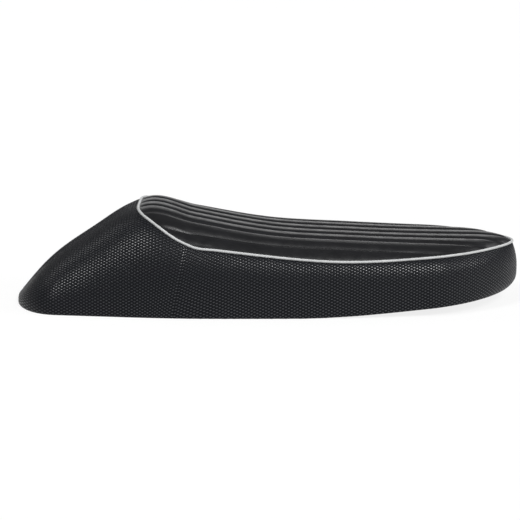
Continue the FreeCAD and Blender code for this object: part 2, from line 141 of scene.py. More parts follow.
# piping; a wave of its thickness has its share of the radius, its turn per point and its start
PIPING_POINTS = 520
PIPING_SIDES = 14
PIPING_LIFT = 0.0005
PIPING_WAVES = ((0.02, 0.61, 0.0), (0.015, 1.73, 1.0))

# rows of the saddle: shares of a pleat, steps beside the outer sewn line, and the plain band outside it
SADDLE_STATIONS = 230
SEAM_POINTS = 700
PLEAT_SHARES = (0.0, 0.025, 0.06, 0.11, 0.18, 0.27, 0.38, 0.5, 0.62, 0.73, 0.82, 0.89, 0.94, 0.975)
OUTER_STEPS = (0.0, 0.0009, 0.002, 0.0036)
BAND_STEP = 0.0055
BAND_LINES = 18
BAND_WIDTH = 0.022
BAND_SHARE = 0.4

# wadding: its run from the seam to full height at the nose, and what adds to that run further back
EDGE_RUN = 0.012
EDGE_RUN_BACK = ((0.018, 0.09, 0.12), (0.02, -0.10, 0.08))  # addition, station, way of setting in
NOSE_GAP = 1e-4  # the width is read no closer to the tip
PLACES_AT_ONCE = 1500

# roll of the saddle's edge round the nose: rise and run from the seam, where it ends, softness at the top
ROLL_RISE = 0.0145
ROLL_START = 0.0016
ROLL_RUN = 0.0125
ROLL_END = 0.320
ROLL_END_RUN = 0.16
ROLL_FREE = 0.12  # lifts the roll clear of the saddle behind its end
ROLL_SOFT = 0.0012
ROLL_SOFT_NOSE = 0.0025
ROLL_SOFT_START = 0.24
ROLL_SOFT_RUN = 0.06

# pleats: shares and forms of the wide drawing in and the narrow groove, and how both fade out at the seam
PLEAT_SHARE = 0.55
PLEAT_POWER = 4.0
OUTER_RUN = 0.006
GROOVE_SHARE = 0.45
GROOVE_HALF = 0.0026
FADE_START = 0.002
FADE_RUN = 0.006

# puffing between the sewn lines, and the lining under the cover
SEWN_NEAR = 1e-5  # closer to a sewn line is held
PUFF_FRAMES = 20
PUFF_LIMIT = 0.0004
LINING_DEPTH = 0.004
LINING_RUN = 0.006

# stitches: the row beside the outer lines, gaps to the seam, and the thread from end to end of one stitch
OUTER_ROW = 0.0028
STITCH_SIDE_GAP = 0.004
STITCH_REAR_GAP = 0.004
STITCH_FRONT_GAP = 0.006
STITCH_SHARE = 0.76
STITCH_LIFT = np.array([-0.0002, 0.00015, 0.00025, 0.00015, -0.0002])
STITCH_RADII = np.array([0.0002, 0.00036, 0.0004, 0.00036, 0.0002])
STITCH_SIDES = 6

# stage: a wide paper floor that curves up into a narrow backdrop, and the camera
FLOOR_HALF = 14.0
FLOOR_FRONT = -12.0
SWEEP_START = 5.5
SWEEP_RADIUS = 1.0
SWEEP_POINTS = 13
BACKDROP_HALF = 1.6
BACKDROP_TOP = 2.7
PAPER_GREY = 0.18
BACKGROUND_GLOW = 0.83
LAMP_DISTANCE = 2.5
SENSOR_WIDTH = 36.0
CAMERA_SHIFT = (-0.0148, -0.0228)
CAMERA_REACH = 100.0

# soft lamps: direction round from the front and above the floor in degrees, share of the key light
LAMPS = (
    ("front_left", -44.0, 48.0, 0.66),
    ("front_right", 30.0, 40.0, 1.12),
    ("side_right", 78.0, 25.0, 0.40),
    ("rear_left", -125.0, 40.0, 0.12),
    ("rear_right", 125.0, 40.0, 0.12),
)

# what the fields of one kind share
COLOUR_FIELD = {"subtype": "COLOR", "size": 3, "min": 0.0, "max": 1.0}
LENGTH_FIELD = {"unit": "LENGTH", "precision": 4}
FINE_FIELD = {"unit": "LENGTH", "precision": 5}


def station_line(stations, size):
    """A smooth line through a few stations, as a function of x."""
    xs = np.array([a for a, b in stations]) * LENGTH
    zs = np.array([b for a, b in stations]) * size
    runs = np.diff(xs)
    rises = np.diff(zs) / runs
    slopes = np.empty(len(xs))
    slopes[0], slopes[-1] = rises[0], rises[-1]
    slopes[1:-1] = (rises[:-1] * runs[1:] + rises[1:] * runs[:-1]) / (runs[:-1] + runs[1:])

    def value(x):
        x = np.asarray(x, float)
        i = np.clip(np.searchsorted(xs, x, side="left") - 1, 0, len(xs) - 2)
        t = np.clip((x - xs[i]) / runs[i], 0.0, 1.0)
        start = (1 + 2 * t) * (1 - t) ** 2 * zs[i] + t * (1 - t) ** 2 * runs[i] * slopes[i]
        end = t * t * (3 - 2 * t) * zs[i + 1] + t * t * (t - 1) * runs[i] * slopes[i + 1]
        return start + end

    return value


side_line = station_line(SIDE_LINE, WIDTH / 2)
crest_line = station_line(CREST_LINE, BODY_HEIGHT)
fullness = station_line(FULLNESS, 1.0)
seam_line = station_line(SEAM_LINE, BODY_HEIGHT)


def smoothstep(t):
    """A soft step from 0 to 1."""
    t = np.clip(t, 0.0, 1.0)
    return t * t * (3 - 2 * t)


def way_along(points):
    """Way along a row of points, 0 at the first."""
    return np.concatenate([[0.0], np.cumsum(np.linalg.norm(np.diff(points, axis=0), axis=1))])


def rim_line(x):
    """Height of the lower rim, which rises towards the nose."""
    return NOSE_RISE * smoothstep((np.asarray(x, float) - RISE_START) / RISE_RUN)


def rim_half(x):
    """Half width of the rim in plan, with both ends rounded."""
    x = np.asarray(x, float)
    rear = np.clip((REAR_ROUND - LENGTH / 2 - x) / REAR_ROUND, 0.0, 1.0)
    nose = np.clip((x - LENGTH / 2 + NOSE_ROUND) / NOSE_ROUND, 0.0, 1.0)
    rear_part = (1 - rear ** REAR_POWER) ** (1 / REAR_POWER)
    nose_part = (1 - nose ** NOSE_POWER) ** (1 / NOSE_POWER)
    return side_line(x) * rear_part * nose_part


def rounded(angle, power):
    """Point of the section's rounded outline in a direction, both sizes being 1."""
    c, s = np.maximum(np.cos(angle), 0.0), np.maximum(np.sin(angle), 0.0)
    low, high = np.zeros_like(c), np.full_like(c, 2.0)
    for _ in range(HALVINGS):
        r = (low + high) / 2
        outside = (r * c) ** CROWN + (r * s) ** power > 1
        high = np.where(outside, r, high)
        low = np.where(outside, low, r)
    return r * c, r * s


def near_nose(x):
    """How near a station is to the tip of the nose, from 0 where the tuck starts to 1."""
    return np.clip((x - LENGTH / 2 + NOSE_TUCK_RUN) / NOSE_TUCK_RUN, 0.0, 1.0) ** 2


def nose_fill(x, v):
    """How far the cover bulges out in front of the bare body under the nose."""
    up = rounded(np.clip(v, 0.0, 1.0) * math.pi / 2, fullness(x))[1]
    under = np.clip((NOSE_FULLEST - up) / NOSE_FULLEST, 0.0, 1.0)
    return near_nose(x) * NOSE_TUCK_RIM * (under ** 2 - under ** 4)


def surface(x, v):
    """Left half of the bare body at a station x, v from the rim (0) to the crest (1)."""
    x, v = np.broadcast_arrays(np.asarray(x, float), np.asarray(v, float))
    rim = rim_line(x)
    across, up = rounded(np.clip(v, 0.0, 1.0) * math.pi / 2, fullness(x))
    across = np.where(v >= 1, 0.0, across)
    above = np.clip((up - NOSE_FULLEST) / (1 - NOSE_FULLEST), 0.0, 1.0)
    under = np.clip((NOSE_FULLEST - up) / NOSE_FULLEST, 0.0, 1.0)
    tuck = near_nose(x) * (NOSE_TUCK_TOP * above ** 2 + NOSE_TUCK_RIM * under ** 2)
    z = rim + (crest_line(x) - rim) * up
    return np.stack([x - tuck, rim_half(x) * across, z], axis=-1)


def surface_normal(x, v):
    """Outward unit normal of the left half."""
    end = LENGTH / 2 - 2 * NORMAL_STEP_X
    x = np.clip(x, -end, end)
    v = np.clip(v, NORMAL_STEP_V, 1 - NORMAL_STEP_V)
    along = surface(x + NORMAL_STEP_X, v) - surface(x - NORMAL_STEP_X, v)
    up = surface(x, v + NORMAL_STEP_V) - surface(x, v - NORMAL_STEP_V)
    normal = np.cross(up, along)
    return normal / np.maximum(np.linalg.norm(normal, axis=-1, keepdims=True), TINY)


def seam_v(x):
    """Where the seam with the saddle crosses a station, 1 where the panel runs over the ridge."""
    x = np.asarray(x, float)
    rim, crest = rim_line(x), crest_line(x)
    goal = (seam_line(x) - rim) / np.maximum(crest - rim, TINY)
    low, high = np.zeros_like(x), np.ones_like(x)
    for _ in range(HALVINGS):
        mid = (low + high) / 2
        up = rounded(mid * math.pi / 2, fullness(x))[1]
        low = np.where(up < goal, mid, low)
        high = np.where(up < goal, high, mid)
    return np.where(goal >= 1, 1.0, mid)


def seam_rear():
    """Where the seam crosses the middle of the hump."""
    low, high = RIDGE_FRONT, RIDGE_REAR
    for _ in range(RIDGE_HALVINGS):
        rear = (low + high) / 2
        if crest_line(rear) > seam_line(rear):
            low = rear
        else:
            high = rear
    return rear


def seam_path(count):
    """Left half of the seam round the saddle, from the middle of the hump to the middle of the nose."""
    rear = seam_rear()
    turn = np.linspace(0.0, math.pi, SEAM_FINENESS * count)
    x = (rear + LENGTH / 2) / 2 - (LENGTH / 2 - rear) / 2 * np.cos(turn)
    v = seam_v(x)
    v[0] = 1.0
    points = surface(x, v)
    normals = surface_normal(x, v)
    points[0, 1] = points[-1, 1] = 0.0
    normals[[0, -1], 1] = 0.0
    steps = way_along(points)
    even = np.linspace(0.0, steps[-1], count)
    points = np.stack([np.interp(even, steps, points[:, k]) for k in range(3)], axis=1)
    normals = np.stack([np.interp(even, steps, normals[:, k]) for k in range(3)], axis=1)
    normals /= np.linalg.norm(normals, axis=1, keepdims=True)
    return points, normals


def new_object(name, vertices, faces, material, body="seat", pattern=None):
    """A smooth-shaded mesh piece that rides on a body; pattern holds the strand numbers at its vertices."""
    mesh = bpy.data.meshes.new(name)
    mesh.from_pydata([tuple(p) for p in vertices], [], [tuple(int(i) for i in f) for f in faces])
    mesh.validate()
    mesh.polygons.foreach_set("use_smooth", [True] * len(mesh.polygons))
    mesh.update()
    if pattern is not None:
        corners = np.empty(len(mesh.loops), int)
        mesh.loops.foreach_get("vertex_index", corners)
        mesh.uv_layers.new(name="strands").data.foreach_set("uv", pattern[corners].ravel())
    obj = bpy.data.objects.new(name, mesh)
    bpy.context.scene.collection.objects.link(obj)
    if material is not None:
        mesh.materials.append(material)
    if body:
        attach(obj, body)
    return obj


def grid_faces(ids):
    """Quads, or triangles where two corners are one, between the rows of a table of vertex numbers."""
    a, b, c, d = ids[:-1, :-1], ids[1:, :-1], ids[1:, 1:], ids[:-1, 1:]
    faces = []
    for quad in np.stack([a, b, c, d], axis=-1).reshape(-1, 4).tolist():
        corners = list(dict.fromkeys(quad))
        if len(corners) >= 3:
            faces.append(corners)
    return faces


def mirrored(vertices, faces, *values):
    """Adds the right half of a left half that ends on the middle plane, and repeats its vertices' values."""
    count = len(vertices)
    middle = np.abs(vertices[:, 1]) < ON_MIDDLE
    number = np.empty(count, int)
    number[middle] = np.nonzero(middle)[0]
    number[~middle] = count + np.arange((~middle).sum())
    both = np.concatenate([vertices, vertices[~middle] * MIRROR])
    other = [[int(number[i]) for i in reversed(f)] for f in faces]
    return (both, faces + other, *(np.concatenate([value, value[~middle]]) for value in values))


def outward(obj):
    """Turns the faces of an open piece so that they look away from the middle of the body."""
    mesh = obj.data
    total = 0.0
    for p in mesh.polygons:
        total += p.normal.dot(p.center - BODY_MIDDLE) * p.area
    if total < 0:
        mesh.flip_normals()
    return obj


def vertex_table(mesh):
    """Places of a mesh's vertices, one row each."""
    points = np.empty(len(mesh.vertices) * 3)
    mesh.vertices.foreach_get("co", points)
    return points.reshape(-1, 3)


def node_material(name):
    """A node material with its shader and object coordinates."""
    material = bpy.data.materials.new(name)
    material.use_nodes = True
    tree = material.node_tree
    shader = tree.nodes["Principled BSDF"]
    coords = tree.nodes.new("ShaderNodeTexCoord")
    return material, tree, shader, coords.outputs["Object"]


def noise(tree, coords, scale, detail=3.0, roughness=0.55):
    """Value of a noise texture."""
    node = tree.nodes.new("ShaderNodeTexNoise")
    node.inputs["Scale"].default_value = scale
    node.inputs["Detail"].default_value = detail
    node.inputs["Roughness"].default_value = roughness
    tree.links.new(coords, node.inputs["Vector"])
    return node.outputs["Fac"]


def cells(tree, coords, scale, feature="F1"):
    """Distance in a texture of cells."""
    node = tree.nodes.new("ShaderNodeTexVoronoi")
    node.feature = feature
    node.inputs["Scale"].default_value = scale
    tree.links.new(coords, node.inputs["Vector"])
    return node.outputs["Distance"]


def ramp(tree, value, stops):
    """Colour by a value; each stop has a place and a colour."""
    node = tree.nodes.new("ShaderNodeValToRGB")
    while len(node.color_ramp.elements) < len(stops):
        node.color_ramp.elements.new(0.5)
    for element, (place, colour) in zip(node.color_ramp.elements, stops):
        element.position = place
        element.color = (*colour, 1.0)
    tree.links.new(value, node.inputs["Fac"])
    return node.outputs["Color"]


def spread(tree, value, low, high, start=0.3, end=0.7):
    """Spreads a value's range from start to end over the range from low to high."""
    node = tree.nodes.new("ShaderNodeMapRange")
    for key, number in (("From Min", start), ("From Max", end), ("To Min", low), ("To Max", high)):
        node.inputs[key].default_value = number
    tree.links.new(value, node.inputs["Value"])
    return node.outputs["Result"]


def bump(tree, shader, *heights):
    """Chains bump nodes: each entry is a height, its depth in metres and its strength."""
    normal = None
    for height, depth, strength in heights:
        node = tree.nodes.new("ShaderNodeBump")
        node.inputs["Distance"].default_value = depth
        node.inputs["Strength"].default_value = strength
        tree.links.new(height, node.inputs["Height"])
        if normal is not None:
            tree.links.new(normal, node.inputs["Normal"])
        normal = node.outputs["Normal"]
    tree.links.new(normal, shader.inputs["Normal"])


def calc(tree, operation, first, second=None):
    """A math node on sockets or plain numbers."""
    node = tree.nodes.new("ShaderNodeMath")
    node.operation = operation
    for socket, value in zip(node.inputs, (first, second)):
        if isinstance(value, (int, float)):
            socket.default_value = value
        elif value is not None:
            tree.links.new(value, socket)
    return node.outputs["Value"]


def scaled(colour, factor):
    """A lighter or darker colour."""
    return tuple(min(c * factor, 1.0) for c in colour[:3])


def coloured(tree, shader, value, *stops):
    """Colours a shader by a value."""
    tree.links.new(ramp(tree, value, stops), shader.inputs["Base Color"])


def roughened(tree, shader, value, low, high):
    """Sets the roughness of a shader by a value."""
    tree.links.new(spread(tree, value, low, high), shader.inputs["Roughness"])


def weave_pattern(tree):
    """Height of the embossed plain weave, 0 to 1, from the strand numbers of the panel."""
    place = tree.nodes.new("ShaderNodeUVMap")
    place.uv_map = "strands"
    parts = tree.nodes.new("ShaderNodeSeparateXYZ")
    tree.links.new(place.outputs["UV"], parts.inputs["Vector"])
    turns = [calc(tree, "MULTIPLY", parts.outputs[k], math.pi) for k in ("X", "Y")]
    across, along = [calc(tree, "SINE", turn) for turn in turns]
    crossing = calc(tree, "MULTIPLY", across, along)
    level_over = calc(tree, "LESS_THAN", crossing, 0.0)
    full = calc(tree, "ADD", calc(tree, "MULTIPLY", level_over, 1.0 - UPRIGHT_SHARE), UPRIGHT_SHARE)
    strand = calc(tree, "POWER", calc(tree, "ABSOLUTE", crossing), STRAND_POWER)
    return calc(tree, "MULTIPLY", strand, full)


def weave_vinyl(colour, relief):
    """Black embossed vinyl: strands with a semi gloss crown and dull, dark gaps; the crowns' lighter colour
    is a painted highlight, and the gaps' darker colour and weaker reflection are painted shade, with some
    dust in the gaps.
    """
    material, tree, shader, coords = node_material("woven_look_vinyl")
    height = weave_pattern(tree)
    # painted highlight: lighter colour on the strand crowns; painted shade with some dust: darker colour in
    # the gaps
    coloured(tree, shader, height, (0.45, scaled(colour, 0.55)), (0.95, scaled(colour, 1.8)))
    # painted shade: the specular tint falls in the gaps, which cuts their reflection
    gap_shade_tint = ramp(tree, height, [(0.45, (0.15, 0.15, 0.15)), (0.90, (1.0, 1.0, 1.0))])
    tree.links.new(gap_shade_tint, shader.inputs["Specular Tint"])
    crown = spread(tree, height, low=0.55, high=0.20, start=0.4, end=0.9)
    uneven = calc(tree, "MULTIPLY", noise(tree, coords, scale=120.0), 0.14)
    tree.links.new(calc(tree, "ADD", crown, uneven), shader.inputs["Roughness"])
    shader.inputs["Specular IOR Level"].default_value = 0.85
    grain = noise(tree, coords, scale=2600.0, detail=2.0)
    bump(tree, shader, (height, BUMP_SHARE * relief, 1.0), (grain, 0.0001, 0.3))
    return material


def saddle_vinyl(colour):
    """Soft black vinyl with a fine leather grain."""
    material, tree, shader, coords = node_material("saddle_vinyl")
    tone = noise(tree, coords, scale=22.0)
    coloured(tree, shader, tone, (0.3, scaled(colour, 0.8)), (0.7, scaled(colour, 1.25)))
    roughened(tree, shader, noise(tree, coords, scale=90.0), low=0.30, high=0.40)
    shader.inputs["Specular IOR Level"].default_value = 0.6
    grain = cells(tree, coords, scale=1100.0, feature="DISTANCE_TO_EDGE")
    bump(tree, shader, (grain, 0.0002, 0.30), (noise(tree, coords, scale=300.0), 0.0004, 0.18))
    return material


def piping_vinyl(colour):
    """Pale grey vinyl cord, slightly soiled in places."""
    material, tree, shader, coords = node_material("piping_vinyl")
    tone = noise(tree, coords, scale=55.0)
    coloured(tree, shader, tone, (0.25, scaled(colour, 0.88)), (0.7, scaled(colour, 1.06)))
    roughened(tree, shader, noise(tree, coords, scale=240.0), low=0.42, high=0.58)
    shader.inputs["Specular IOR Level"].default_value = 0.4
    bump(tree, shader, (noise(tree, coords, scale=900.0), 0.0002, 0.25))
    return material


def seat_foam(colour):
    """Yellowish foam with open pores."""
    material, tree, shader, coords = node_material("seat_foam")
    pores = cells(tree, coords, scale=700.0)
    coloured(tree, shader, pores, (0.1, scaled(colour, 0.55)), (0.6, scaled(colour, 1.05)))
    roughened(tree, shader, noise(tree, coords, scale=60.0), low=0.85, high=0.97)
    bump(tree, shader, (pores, 0.0006, 0.8))
    return material


def black_enamel(colour):
    """Black stove enamel with some dust."""
    material, tree, shader, coords = node_material("black_enamel")
    dust = noise(tree, coords, scale=30.0, detail=6.0)
    coloured(tree, shader, dust, (0.45, colour[:3]), (0.75, scaled(colour, 2.2)))
    roughened(tree, shader, noise(tree, coords, scale=120.0), low=0.28, high=0.45)
    shader.inputs["Coat Weight"].default_value = 0.25
    shader.inputs["Coat Roughness"].default_value = 0.15
    bump(tree, shader, (noise(tree, coords, scale=420.0), 0.0003, 0.12))
    return material


def zinc_plate(colour):
    """Zinc plating that has bloomed to a pale yellow in places."""
    material, tree, shader, coords = node_material("zinc_plate")
    bloom = noise(tree, coords, scale=70.0, detail=5.0)
    yellowed = (0.70, 0.68, 0.58)
    coloured(tree, shader, bloom, (0.3, scaled(colour, 0.78)), (0.55, colour[:3]), (0.75, yellowed))
    shader.inputs["Metallic"].default_value = 1.0
    roughened(tree, shader, noise(tree, coords, scale=260.0), low=0.26, high=0.46)
    bump(tree, shader, (noise(tree, coords, scale=1500.0), 0.0001, 0.25))
    return material


def rivet_alloy(colour):
    """Bare light alloy."""
    material, tree, shader, coords = node_material("rivet_alloy")
    tone = noise(tree, coords, scale=400.0)
    coloured(tree, shader, tone, (0.3, scaled(colour, 0.8)), (0.7, colour[:3]))
    shader.inputs["Metallic"].default_value = 1.0
    roughened(tree, shader, noise(tree, coords, scale=900.0), low=0.3, high=0.5)
    bump(tree, shader, (noise(tree, coords, scale=2500.0), 0.0001, 0.3))
    return material


def buffer_rubber(colour):
    """Dull black rubber, greyed in places."""
    material, tree, shader, coords = node_material("buffer_rubber")
    bloom = noise(tree, coords, scale=80.0, detail=4.0)
    coloured(tree, shader, bloom, (0.4, colour[:3]), (0.8, scaled(colour, 2.4)))
    roughened(tree, shader, noise(tree, coords, scale=200.0), low=0.65, high=0.85)
    bump(tree, shader, (noise(tree, coords, scale=1800.0), 0.0002, 0.4))
    return material


def sewing_thread(colour):
    """Dark thread with a little unevenness."""
    material, tree, shader, coords = node_material("sewing_thread")
    twist = noise(tree, coords, scale=1400.0)
    coloured(tree, shader, twist, (0.3, scaled(colour, 0.6)), (0.7, scaled(colour, 1.4)))
    shader.inputs["Roughness"].default_value = 0.75
    bump(tree, shader, (twist, 0.0002, 0.6))
    return material


class SeatSideProps(bpy.types.PropertyGroup):
    """Woven-look panels round the side and over the tail."""
    warp_pitch: FloatProperty(name="Warp Pitch", description="Width of one upright strand of the embossing",
                              default=0.0038, min=0.001, **FINE_FIELD)
    weft_pitch: FloatProperty(name="Weft Pitch", description="Height of one level strand of the embossing",
                              default=0.0021, min=0.001, **FINE_FIELD)
    relief: FloatProperty(name="Relief", description="Depth of the embossing", default=0.00024, min=0.0,
                          **FINE_FIELD)
    colour: FloatVectorProperty(name="Colour", description="Colour of the woven-look vinyl",
                                default=(0.0080, 0.0090, 0.0122), **COLOUR_FIELD)


class SeatSaddleProps(bpy.types.PropertyGroup):
    """Smooth top with sewn pleats."""
    pleat_pitch: FloatProperty(name="Pleat Pitch", description="Distance between two sewn lines",
                               default=0.033, min=0.01, **LENGTH_FIELD)
    pleat_count: IntProperty(name="Pleats Each Side", description="Pleats on each side of the middle line",
                             default=3, min=1, max=6)
    pleat_depth: FloatProperty(name="Pleat Depth", description="How far a sewn line lies under the pleats",
                               default=0.0054, min=0.0, **LENGTH_FIELD)
    padding: FloatProperty(name="Padding", description="Wadding over the foam", default=0.0034, min=0.0,
                           **LENGTH_FIELD)
    stitch: FloatProperty(name="Stitch", description="Length of one stitch with its gap", default=0.0042,
                          min=0.002, **LENGTH_FIELD)
    colour: FloatVectorProperty(name="Colour", description="Colour of the saddle vinyl",
                                default=(0.0080, 0.0081, 0.0095), **COLOUR_FIELD)
    thread: FloatVectorProperty(name="Thread", description="Colour of the sewing thread",
                                default=(0.03, 0.03, 0.032), **COLOUR_FIELD)


class SeatPipingProps(bpy.types.PropertyGroup):
    """Pale cord in the seam."""
    diameter: FloatProperty(name="Diameter", description="Thickness of the cord", default=0.0037, min=0.001,
                            **LENGTH_FIELD)
    colour: FloatVectorProperty(name="Colour", description="Colour of the cord", default=(0.60, 0.61, 0.61),
                                **COLOUR_FIELD)


class SeatHardwareProps(bpy.types.PropertyGroup):
    """Pan, hinge, catch, fasteners, buffers and foam."""
    pan: FloatVectorProperty(name="Pan", description="Colour of the enamelled pan",
                             default=(0.02, 0.02, 0.021), **COLOUR_FIELD)
    zinc: FloatVectorProperty(name="Zinc", description="Colour of the plated steel",
                              default=(0.60, 0.61, 0.62), **COLOUR_FIELD)
    rivet: FloatVectorProperty(name="Rivets", description="Colour of the rivets",
                               default=(0.72, 0.72, 0.73), **COLOUR_FIELD)
    rubber: FloatVectorProperty(name="Rubber", description="Colour of the buffers",
                                default=(0.018, 0.018, 0.018), **COLOUR_FIELD)
    foam: FloatVectorProperty(name="Foam", description="Colour of the foam",
                              default=(0.66, 0.55, 0.30), **COLOUR_FIELD)


class SeatStageProps(bpy.types.PropertyGroup):
    """Camera, floor and light."""
    elevation: FloatProperty(name="Elevation", description="Height of the camera over the horizon",
                             default=math.radians(10.5), subtype="ANGLE")
    distance: FloatProperty(name="Distance", description="Distance of the camera", default=3.0,
                            unit="LENGTH")
    target_height: FloatProperty(name="Target Height", description="Height that the camera looks at",
                                 default=0.070, unit="LENGTH")
    lens: FloatProperty(name="Lens", description="Focal length in millimetres", default=150.0)
    key_power: FloatProperty(name="Key Light", description="Strength that each soft lamp has a share of",
                             default=1.8, min=0.0)
    key_angle: FloatProperty(name="Key Size", description="Angle over which a soft lamp spreads",
                             default=math.radians(20.0), subtype="ANGLE")
    fill: FloatProperty(name="Fill", description="Level of the light from all round", default=0.11, min=0.0)


class SEAT_OT_foam(bpy.types.Operator):
    """Foam core, drawn back a little under the covers"""
    bl_idname = "seat.foam"
    bl_label = "Foam Core"

    def execute(self, context):
        props = context.scene.seat_hardware
        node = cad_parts["foam_core"]
        mesh = node.data.copy()
        mesh.name = "foam_cushion"
        obj = bpy.data.objects.new("foam_cushion", mesh)
        context.scene.collection.objects.link(obj)
        mesh.materials.clear()
        mesh.materials.append(seat_foam(props.foam))
        points = vertex_table(mesh)
        top = smoothstep((points[:, 2] - FOAM_TOP) / FOAM_TOP_RUN)
        nose = smoothstep((points[:, 0] - FOAM_NOSE) / FOAM_NOSE_RUN)
        points[:, 2] -= top * (FOAM_SINK + FOAM_NOSE_SINK * nose)
        points[:, 1] *= 1 - FOAM_NARROW * top
        points[:, 0] -= FOAM_NOSE_BACK * top * nose
        mesh.vertices.foreach_set("co", points.ravel())
        mesh.update()
        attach(obj, "seat")
        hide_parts("foam_core")
        return {"FINISHED"}


def weave_height(along, up, warp, weft):
    """Relief of a plain weave, from about -1 to 1."""
    crossing = np.sin(math.pi * along / warp) * np.sin(math.pi * up / weft)
    full = np.where(crossing < 0, 1.0, UPRIGHT_SHARE)
    return 2 * np.abs(crossing) ** STRAND_POWER * full - 1


def turned_edge(way):
    """Where a way along the turned-in edge leads: depth under the skin, height over the rim, skin's turn."""
    t1 = np.clip(way / HEM_ARC, 0.0, 1.0) * math.pi / 2
    t2 = np.clip((way - HEM_ARC) / HEM_FLAT, 0.0, 1.0)
    t3 = np.clip((way - HEM_ARC - HEM_FLAT) / HEM_ARC, 0.0, 1.0) * math.pi / 2
    rest = np.clip(way - 2 * HEM_ARC - HEM_FLAT, 0.0, None)
    depth = HEM_ROUND * (1 - np.cos(t1)) + HEM_FLAT * t2 + HEM_ROUND * np.sin(t3)
    over_rim = HEM_ROUND * (1 - np.sin(t1)) + HEM_ROUND * (1 - np.cos(t3)) + rest
    return depth, over_rim, t1 + t3


def side_panel(stations, along, drift, props):
    """Vertices, faces and strand numbers of the left half of a woven-look panel, one column per station.

    Each column runs from the turned-in edge, under the rim and up the side to the seam, or over the tail to
    the ridge. Along is the way of a station from the join, drift is how far the level strands have climbed.
    """
    fine = np.linspace(0.0, 1.0, GIRTH_POINTS)
    step = props.weft_pitch / ROWS_PER_STRAND
    top_v = seam_v(stations)
    height = crest_line(stations) - rim_line(stations)
    hem_up = np.minimum(HEM_HEIGHT, HEM_SHARE * height)
    hem_run = 2 * HEM_ARC + HEM_FLAT + hem_up - HEM_ROUND
    bottom = (HEM_ROUND - hem_run)[:, None]
    drift = drift[:, None]
    girths, lifts, tops = [], [], []
    for x, v in zip(stations, top_v):
        line = surface(np.full(fine.shape, x), fine)
        reach = way_along(line)
        girths.append(reach)
        lifts.append(line[:, 2] - line[0, 2])
        tops.append([np.interp(v, fine, reach)])
    tops = np.array(tops)

    first = int(math.floor((bottom - drift).min() / step)) - 1
    last = int(math.ceil((tops - drift).max() / step)) + 1
    rows = np.arange(first, last + 1) * step
    girth = rows + drift
    inside = (girth > bottom) & (girth < tops)
    low = np.maximum(inside.argmax(axis=1) - 1, 0)
    high = len(rows) - inside[:, ::-1].argmax(axis=1)
    girth = np.clip(girth, bottom, tops)

    lean = JOIN_LEAN * np.exp(-((stations - JOIN_X) / JOIN_REACH) ** 2)
    shift = lean[:, None] * (np.clip(girth / JOIN_HEIGHT, 0.0, 1.0) - 0.5)
    way = np.clip(HEM_ROUND - girth, 0.0, None)
    depth, over_rim, turn = turned_edge(way)
    v = np.empty_like(girth)
    for i in range(len(stations)):
        hem_v = np.interp(over_rim[i], lifts[i], fine)
        side_v = np.interp(girth[i], girths[i], fine)
        v[i] = np.where(way[i] > 0, hem_v, side_v)
    x = np.clip(stations[:, None] + shift, -LENGTH / 2, LENGTH / 2)
    base = surface(x, v)
    base[..., 0] += nose_fill(x, v) * (1 - depth / HEM_DEPTH)
    normal = surface_normal(x, v)
    middle = np.abs(base[..., 1]) < ON_MIDDLE
    normal[..., 1] = np.where(middle, 0.0, normal[..., 1])
    facing = normal * np.cos(turn)[..., None] - UP * np.sin(turn)[..., None]

    relief = weave_height(along[:, None], girth - drift, props.warp_pitch, props.weft_pitch)
    relief = relief * props.relief / 2
    to_top = np.where(top_v[:, None] >= 1.0, math.inf, tops - girth)
    relief -= SEAM_DRAW * np.exp(-np.clip(to_top, 0.0, None) / SEAM_DRAW_RUN)
    to_join = np.abs(stations - JOIN_X)[:, None]
    relief -= np.where(way > 0, JOIN_DRAW_HEM, JOIN_DRAW) * np.exp(-to_join / JOIN_DRAW_RUN)
    points = base - normal * depth[..., None] + facing * relief[..., None]
    points[..., 1] = np.where(middle, 0.0, points[..., 1])
    points[..., 2] = np.maximum(points[..., 2], 0.0)

    place = np.arange(len(rows))
    kept = np.clip(place, low[:, None], high[:, None])
    used = kept == place
    number = np.cumsum(used).reshape(used.shape) - 1
    ids = np.take_along_axis(number, kept, axis=1)
    upright = np.broadcast_to(along[:, None] / props.warp_pitch, girth.shape)
    strands = np.stack([upright, (girth - drift) / props.weft_pitch], axis=-1)
    return points[used], grid_faces(ids), strands[used]


def tail_stations(step):
    """Stations of the tail panel from the join to the tip, closer at the tip and at the seam's ridge."""
    count = int(round((LENGTH / 2 + JOIN_X) / step))
    even = JOIN_X - np.arange(count + 1) * (LENGTH / 2 + JOIN_X) / count
    tip = -LENGTH / 2 + np.array(TIP_STEPS)
    ridge = seam_rear() + RIDGE_RUN * np.linspace(0.0, 1.0, RIDGE_STATIONS) ** RIDGE_POWER
    return np.sort(np.concatenate([even, tip, ridge]))[::-1]


def band_stations(step):
    """Stations of the side band from the join to the nose, their way from the join, the strands' climb."""
    nose = -LENGTH / 2 * np.cos(math.pi * np.linspace(0.5, 1.0, NOSE_POINTS))
    x = np.concatenate([np.linspace(JOIN_X, 0.0, BAND_POINTS)[:-1], nose])
    plan = surface(x, np.full(x.shape, BAND_LEVEL))[:, :2]
    run = way_along(plan)
    count = int(round(run[-1] / step))
    along = np.linspace(0.0, run[-1], count + 1)
    stations = np.interp(along, run, x)
    stations[-1] = LENGTH / 2
    slope = CLIMB * np.clip((CLIMB_END - stations) / CLIMB_RUN, 0.0, 1.0)
    climb = np.concatenate([[0.0], np.cumsum((slope[1:] + slope[:-1]) / 2 * np.diff(along))])
    return stations, along, climb


